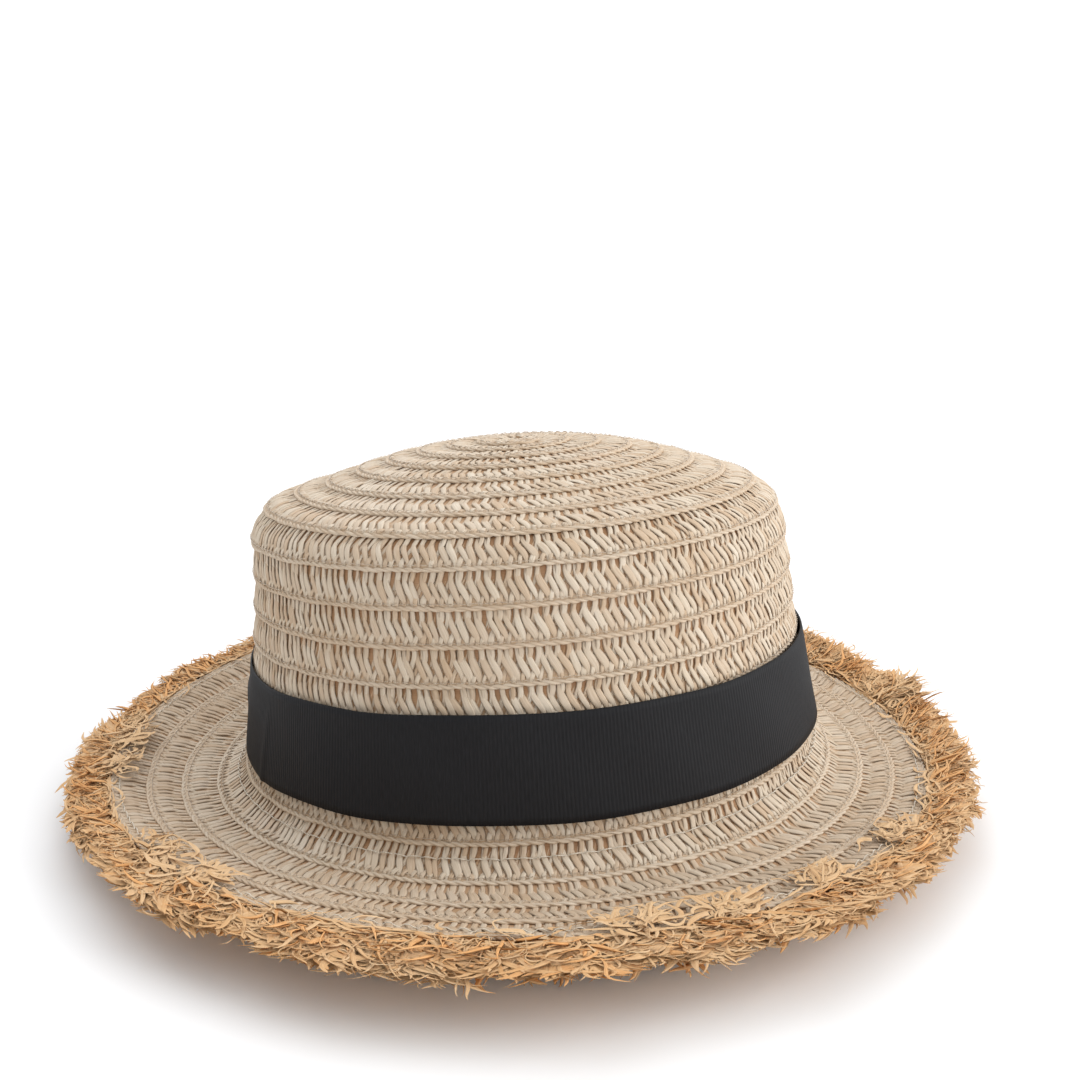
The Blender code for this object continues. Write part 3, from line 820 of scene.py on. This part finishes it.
def care_label():
    """Blank satin label with a free end that curls inward."""
    lift = -(BRAID_DEPTH + SWEATBAND_CLOTH + 5 * GAP)
    half_angle = 0.5 * LABEL_WIDTH / LABEL_BEND
    angle = np.linspace(LABEL_ANGLE - half_angle, LABEL_ANGLE + half_angle, 25)
    level = np.linspace(0, 1, 13)
    angles, levels = np.meshgrid(angle, level, indexing="ij")
    travel = FOOT_TRAVEL - LABEL_ABOVE_FOOT - LABEL_RISE * levels
    curl = 0.5 * MM * np.sin(0.5 * math.pi * levels) ** 2
    side = (angles - LABEL_ANGLE) / half_angle
    curl = curl + 0.25 * MM * side ** 2 * levels
    outer = place(travel, lift - curl, angles)
    inner = place(travel, lift - curl - 0.25 * MM, angles)
    marks = 2 * np.stack([levels * LABEL_RISE / MM, angles * SWEATBAND_BEND], axis=-1)
    piece = sheet_mesh("label_cloth", outer, inner, marks, label_satin)
    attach(piece, "root")
    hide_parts("care_label")


TACKS = 9  # stitches that hold the ribbon's end


def ribbon_thread():
    """Small slanted stitches up the ribbon's lapped end."""
    solids = Solids()
    end = RIBBON_JOIN + TURN + RIBBON_LAP
    share = (np.arange(TACKS) + 0.5) / TACKS
    t = np.linspace(0, 1, 6)
    around = TURN * np.arange(5) / 5
    level = share[:, None, None] + 0.03 * (t[:, None] - 0.5)
    angle = end - 0.028 + 0.018 * t[:, None] + 0.0015 * np.cos(around)
    arch = 0.12 * MM * np.sin(math.pi * t)[:, None] + 0.14 * MM * np.sin(around)
    out = ribbon_radius(level) + RIBBON_CLOTH + 3 * GAP + arch
    points = oval(out, RIBBON_RISE * level, angle, 1.0)
    marks = np.zeros(points.shape[:3] + (2,))
    marks[..., 0] = t[:, None] * 1.7
    solids.tubes(points, marks, np.full((TACKS, 1), 0.5))
    piece = solids.made("ribbon_tacks", dark_thread)
    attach(piece, "root")
    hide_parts("ribbon_thread")


hat_ribbon()
sweatband()
care_label()
ribbon_thread()


# ---- raffia fringe

def heading_tape():
    """Woven tape under the brim's edge, with small tufts where the strands are caught."""
    angle = np.linspace(BACK, BACK + TURN, 721)[:-1]
    angle = np.append(angle, angle[0])[:, None]
    levels = np.linspace(1, 0, 5)
    travel = edge_travel(angle) - HEADING_WIDTH * levels
    lift = strip_top(travel, edge_turns(angle)) - STRAW - GAP
    steps = np.arange(len(angle))[:, None]
    knots = 0.12 * MM * np.sin(TURN * steps / 3)
    outer = place(travel, lift - 0.1 * MM, angle)
    inner = place(travel, lift - HEADING_CLOTH + knots, angle)
    marks = np.stack(np.broadcast_arrays(steps, 8 * levels), axis=-1)
    piece = sheet_mesh("heading_tape", outer, inner, marks, raffia, 0.35)
    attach(piece, "root")
    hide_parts("fringe_heading")


# In millimetres, but for angles and shares.
FRINGE_PARTS = 6
CLUMPS_IN_PART = 17  # tufts whose strands lie much the same way
FRINGE_LENGTH = 13.8  # how far the fringe's mass stands out from the straw edge
FRONT_EXTRA = 2.0  # how much further at the front
LEFT_FRONT = math.radians(-150)
RIGHT_BACK = math.radians(22)
FRINGE_BEND = 144  # its mean radius
LOWEST_STRAND = 1.2  # height above the rest surface
# The core is a sheet beneath the strands, painted light to fill the shade between them.
CORE_DEPTH = 0.5
CORE_GLOW_TONE = 0.30
BRIM_SLOPE = 0.42  # how steeply the straw falls away inward
INNER_LIMIT = -3.0  # how far a few loose strands reach back over the straw
TANGLE_LIMIT = -7.5  # and how far the tangles do
TANGLES = [math.radians(turn) for turn in (183, 192, 222, 231, 281, 292, 306, 322)]
TANGLE_SPREAD = 0.035  # radians
OUTER_START = 0.5  # the others start just outside its edge
RIGHT_FLARE = 0.45  # the fringe turns upward on the right
FLARE_ANGLE = math.radians(20)
TUFT_SOFTNESS = (0.8, 0.6)  # share and lean, as soften takes them
UNDERSIDE_SOFTNESS = (0.6, 0.15)


def fringe_length(angle):
    """How far the fringe stands out: most on the right, least on the left."""
    left_front = np.clip(np.cos(angle - LEFT_FRONT), 0, 1) ** 2
    front = np.clip(-np.sin(angle), 0, 1) ** 2
    right_back = np.clip(np.cos(angle - RIGHT_BACK), 0, 1) ** 6
    return (FRINGE_LENGTH + 1.6 * np.cos(angle) + 1.4 * np.sin(angle)
            + 0.8 * left_front + FRONT_EXTRA * front + 4.6 * right_back)


def flare(angle):
    """Upward slope of the fringe."""
    return RIGHT_FLARE * np.clip(np.cos(angle - FLARE_ANGLE), 0, 1)[:, None] ** 2


class Edge:
    """The last turn's edge at some angles, with directions along and out of it."""

    def __init__(self, angle):
        travel = edge_travel(angle)
        self.point = place(travel, 0.0, angle)
        tangent = place(travel, 0.0, angle + 0.01) - self.point
        tangent[:, 2] = 0.0
        self.tangent = tangent / np.linalg.norm(tangent, axis=1)[:, None]
        self.outward = np.stack([self.tangent[:, 1], -self.tangent[:, 0],
                                 np.zeros(len(angle))], axis=-1)

    def placed(self, out, around, up):
        line = (self.point[:, None] + self.outward[:, None] * (out * MM)[..., None]
                + self.tangent[:, None] * (around * MM)[..., None])
        line[..., 2] += up * MM
        return line


def wander(random, count, steps, root, heading, turning, pitch, reach):
    """Middle lines of loose strands, in millimetres out, around and up from the edge."""
    t = np.linspace(0, 1, steps)[None]
    wave = random.normal(size=(count, 1))
    wave = wave * np.sin(TURN * (t + random.uniform(size=(count, 1))))
    bearing = heading[:, None] + turning[:, None] * t + 0.35 * wave
    climb = pitch[0][:, None] + pitch[1][:, None] * t
    step = (reach / (steps - 1))[:, None]
    flat = np.cos(climb) * step
    out = root[0][:, None] + np.cumsum(np.cos(bearing) * flat, axis=1)
    around = np.cumsum(np.sin(bearing) * flat, axis=1)
    up = root[1][:, None] + np.cumsum(np.sin(climb) * step, axis=1)
    return out, around, up


def ribbon_tubes(solids, random, line, width, twist, tone, corners):
    """Flat raffia strands, tapering to their tips and twisting along their length."""
    count, steps = line.shape[:2]
    t = np.linspace(0, 1, steps)
    along = np.gradient(line, axis=1)
    along /= np.maximum(np.linalg.norm(along, axis=2), 1e-9)[..., None]
    side = np.cross(along, np.array([0.0, 0.0, 1.0]))
    side /= np.maximum(np.linalg.norm(side, axis=2), 1e-6)[..., None]
    normal = np.cross(side, along)
    turn = random.normal(0, twist, count)[:, None]
    turn = turn + random.normal(0, 1.3 * twist, count)[:, None] * t
    across = side * np.cos(turn)[..., None] + normal * np.sin(turn)[..., None]
    above = normal * np.cos(turn)[..., None] - side * np.sin(turn)[..., None]
    taper_off = np.clip(1.15 - 1.1 * t ** 3, 0.10, 1.0)
    widths = width[:, None] * taper_off * MM
    thick = np.minimum(0.20 * MM, 0.6 * widths)
    points = (line[:, :, None]
              + across[:, :, None] * (corners[:, 0] * widths[..., None])[..., None]
              + above[:, :, None] * (corners[:, 1] * thick[..., None])[..., None])
    offset = random.uniform(0, 60, count)
    marks = np.zeros(points.shape[:3] + (2,))
    marks[..., 0] = 12 * t[:, None] + offset[:, None, None]
    marks[..., 1] = corners[:, 0] * width[:, None, None] + offset[:, None, None]
    solids.tubes(points, marks, tone[:, None])


def fringe_part(number):
    """One stretch of the fringe: a tangled mass with blades, curls and folded strands."""
    random = np.random.default_rng(500 + number)
    start = BACK + TURN * (number - 1) / FRINGE_PARTS
    sweep_angle = TURN / FRINGE_PARTS
    clump_heading = random.normal(0.25, 0.50, CLUMPS_IN_PART)
    clump_pitch = random.normal(0.02, 0.07, CLUMPS_IN_PART)
    clump_reach = random.uniform(0.84, 1.16, CLUMPS_IN_PART)
    clump_tone = random.normal(0, 0.09, CLUMPS_IN_PART)
    clump_drop = random.uniform(-0.05, 0.36, CLUMPS_IN_PART)
    solids, beneath = Solids(), Solids()

    def lay(count, steps, root_out, root_up, heading, turning, pitch, reach, width, twist,
            corners, shade, follow=1.0, depth=2.4, under=False, hang=False, over=False,
            low=False, near=None):
        """Loose strands: ranges in millimetres, and means and spreads of their angles."""
        angle = start + sweep_angle * random.uniform(0, 1, count)
        if near is not None:
            angle = random.normal(near, TANGLE_SPREAD, count)
        clump = (angle - start) / sweep_angle * CLUMPS_IN_PART + random.normal(0, 0.3, count)
        clump = clump.astype(int) % CLUMPS_IN_PART
        reach = random.uniform(*reach, count) * clump_reach[clump]
        root = (random.uniform(*root_out, count), random.uniform(*root_up, count))
        bearing = random.normal(*heading, count) + follow * clump_heading[clump]
        climbs = (random.normal(*pitch[0], count) + follow * clump_pitch[clump],
                  random.normal(*pitch[1], count))
        out, around, up = wander(random, count, steps, root, bearing,
                                 turning(count), climbs, reach)
        stray = 1 + 0.10 * random.normal(size=count).clip(-1.5, 3.0)
        room = (fringe_length(angle) * clump_reach[clump] * stray)[:, None]
        out = np.where(out > 0, room * np.tanh(out / room * 1.1), out)
        if not under:
            limit = TANGLE_LIMIT if near else INNER_LIMIT if over else OUTER_START
            out = np.where(out < limit, limit + 0.15 * (out - limit), out)
        inward = BRIM_SLOPE * np.minimum(out, 0.0)
        droop = clump_drop[clump][:, None] * np.maximum(out - 3.0, 0.0)
        if not hang:
            middle = -1.2 + 0.06 * out
            half = depth * np.exp(0.25 * random.normal(size=count))[:, None]
            up = middle + half * np.tanh((up - middle) / half)
        if under:
            up = np.minimum(up, inward - 2.1 + 1.6 * np.clip(out + 0.2, 0.0, None))
            if low:
                ceiling = -2.5 + 0.06 * out - droop
                up = np.minimum(up, ceiling - random.uniform(0.0, 1.2, count)[:, None])
        else:
            up = up - droop
        if over:
            inward = 0.0 if near else inward
            up = np.maximum(up, inward + 0.75 - 2.4 * np.clip(out - 0.3, 0.0, 1.7))
        up = up + flare(angle) * np.maximum(out, 0.0)
        line = Edge(angle).placed(out, around, up)
        line[..., 2] = np.maximum(line[..., 2], LOWEST_STRAND * MM)
        tone = np.clip(random.normal(shade, 0.13, count) + clump_tone[clump], 0.0, 1.0)
        ribbon_tubes(beneath if under else solids, random, line,
                     random.uniform(*width, count), twist, tone, corners)

    def core():
        """A sheet beneath the strands, painted light that fills the shade; seen only between
        them.
        """
        steps = 150
        angle = np.linspace(start, start + sweep_angle, steps)
        share = np.linspace(0, CLUMPS_IN_PART, steps)
        middles = np.arange(CLUMPS_IN_PART) + 0.5
        drop = np.interp(share, middles, clump_drop)
        reach = np.interp(share, middles, clump_reach)
        levels = np.array([0.02, 0.16, 0.32, 0.48, 0.62, 0.72])
        out = (fringe_length(angle) * reach)[:, None] * levels
        knots = 0.25 * random.normal(size=out.shape).clip(-2, 2)
        up = -1.85 + 0.06 * out + knots - drop[:, None] * np.maximum(out - 3.0, 0.0)
        up = up + flare(angle) * out
        out = np.concatenate([out, out[:, ::-1]], axis=1)
        up = np.concatenate([up, up[:, ::-1] - CORE_DEPTH], axis=1)
        line = Edge(angle).placed(out, np.zeros_like(out), up)
        line[..., 2] = np.maximum(line[..., 2], LOWEST_STRAND * MM)
        around = (FRINGE_BEND * (angle - start))[:, None] + np.zeros_like(out)
        marks = np.stack([out, around], axis=-1)
        beneath.tubes(line[None], marks[None], np.array([[CORE_GLOW_TONE]]))

    def bends(size):
        return lambda count: random.normal(0, size, count)

    def curls(low, high):
        return lambda count: random.uniform(low, high, count) * random.choice([-1, 1], count)

    core()
    # The lower a lay lies, the lower its tone, as painted shade; the top lays are palest.
    lay(640, 9, (-4.5, 0.0), (-3.6, -2.0), (0, 0.5), bends(1.0), ((0.10, 0.15), (0.0, 0.35)),
        (9, 18), (0.45, 1.5), 0.4, PRISM, 0.25, under=True)
    lay(300, 9, (-3.0, 1.0), (-3.2, -1.8), (0, 0.4), bends(0.8), ((0.12, 0.12), (0.0, 0.3)),
        (9, 17), (1.0, 2.4), 0.3, BLADE, 0.22, under=True, low=True)
    lay(980, 9, (0.2, 4.0), (-1.8, -0.8), (0, 0.34), bends(0.8), ((0.04, 0.05), (-0.05, 0.10)),
        (8, 17), (0.9, 2.6), 0.10, BLADE, 0.40, depth=0.7)
    lay(520, 10, (0.4, 7.0), (-1.0, 0.0), (0, 0.42), bends(1.0), ((0.05, 0.08), (-0.05, 0.16)),
        (9, 17), (0.4, 1.2), 0.22, BLADE, 0.56, depth=0.9)
    lay(260, 11, (1.0, 11.0), (-0.6, 0.6), (0, 1.0), curls(1.4, 3.8), ((0.0, 0.16), (0.0, 0.3)),
        (6, 14), (0.25, 0.7), 0.4, PRISM, 0.72, depth=1.3)
    for count, heading in ((60, 1.6), (50, -1.6)):
        lay(count, 10, (0.8, 3.0), (-0.6, 0.4), (heading, 0.45), bends(0.9),
            ((0.04, 0.10), (-0.1, 0.15)), (9, 20), (0.3, 1.0), 0.3, BLADE, 0.70,
            follow=0.3, depth=1.2)
    lay(34, 10, (0.2, 1.5), (-0.4, 0.4), (0, 2.2), bends(1.2), ((0.10, 0.12), (-0.1, 0.2)),
        (7, 16), (0.4, 1.2), 0.3, BLADE, 0.80, follow=0.0, over=True)
    lay(140, 8, (-9.0, -7.5), (-3.6, -2.8), (0, 1.2), bends(0.7), ((-1.25, 0.12), (-0.2, 0.3)),
        (9, 13), (0.4, 1.5), 0.8, PRISM, 0.50, follow=0.0, under=True, hang=True)
    for angle in TANGLES:
        if start <= angle < start + sweep_angle:
            lay(60, 10, (-4.0, 1.0), (0.3, 1.6), (2.3, 1.2), bends(1.4),
                ((0.20, 0.25), (-0.2, 0.4)), (5, 12), (0.35, 1.3), 0.3, BLADE, 0.80,
                follow=0.0, depth=2.8, over=True, near=angle)
    # The strands beneath get the brighter copy of the raffia, painted light.
    for piece, softness in (
            (solids.made(f"raffia_tufts_{number}", raffia), TUFT_SOFTNESS),
            (beneath.made(f"raffia_underside_{number}", glow_raffia), UNDERSIDE_SOFTNESS)):
        soften(piece, *softness)
        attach(piece, "root")
        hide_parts("raffia_fringe")


heading_tape()
for part_number in range(1, FRINGE_PARTS + 1):
    fringe_part(part_number)


# ---- floor and light

def add_floor():
    """A wide pale sheet just under the hat."""
    mesh = bpy.data.meshes.new("floor")
    half = 40.0
    mesh.from_pydata([(-half, -half, 0), (half, -half, 0), (half, half, 0), (-half, half, 0)],
                     [], [(0, 1, 2, 3)])
    material, _, shader = node_material("floor", 0.9)
    shader.inputs["Base Color"].default_value = (0.93, 0.93, 0.93, 1.0)
    mesh.materials.append(material)
    floor = added("floor", mesh)
    floor.location.z = -0.0002


def sun(name, toward, spread, power, colour):
    """A wide light from far away in one direction."""
    data = bpy.data.lights.new(name, "SUN")
    data.angle = spread
    data.energy = power
    data.color = colour
    added(name, data).rotation_euler = Vector(toward).to_track_quat("Z", "Y").to_euler()


DIM_SIDE = (-0.8, -0.6, 0.0)  # direction of the studio's darker side


def add_lights():
    """A white studio that is dimmer on one side, with two soft lights above."""
    world = bpy.data.worlds.new("studio")
    bpy.context.scene.world = world
    world.use_nodes = True
    nodes, links = world.node_tree.nodes, world.node_tree.links
    background = nodes["Background"]
    background.inputs["Color"].default_value = (*WHITE, 1.0)
    sky = nodes.new("ShaderNodeTexCoord")
    toward = nodes.new("ShaderNodeVectorMath")
    toward.operation = "DOT_PRODUCT"
    toward.inputs[1].default_value = DIM_SIDE
    dimmed = nodes.new("ShaderNodeMapRange")
    dimmed.interpolation_type = "SMOOTHSTEP"
    for socket, value in (("From Min", 0.2), ("From Max", 0.9), ("To Min", 1.12),
                          ("To Max", 0.46)):
        dimmed.inputs[socket].default_value = value
    links.new(sky.outputs["Generated"], toward.inputs[0])
    links.new(toward.outputs["Value"], dimmed.inputs["Value"])
    links.new(dimmed.outputs["Result"], background.inputs["Strength"])
    sun("key", (1.0, -0.1, 0.50), math.radians(50), 1.4, (1.0, 0.99, 0.98))
    sun("top", (-0.3, 0.7, 0.9), math.radians(60), 0.7, (0.94, 0.98, 1.06))


add_floor()
add_lights()
bpy.context.scene.view_settings.view_transform = "Standard"
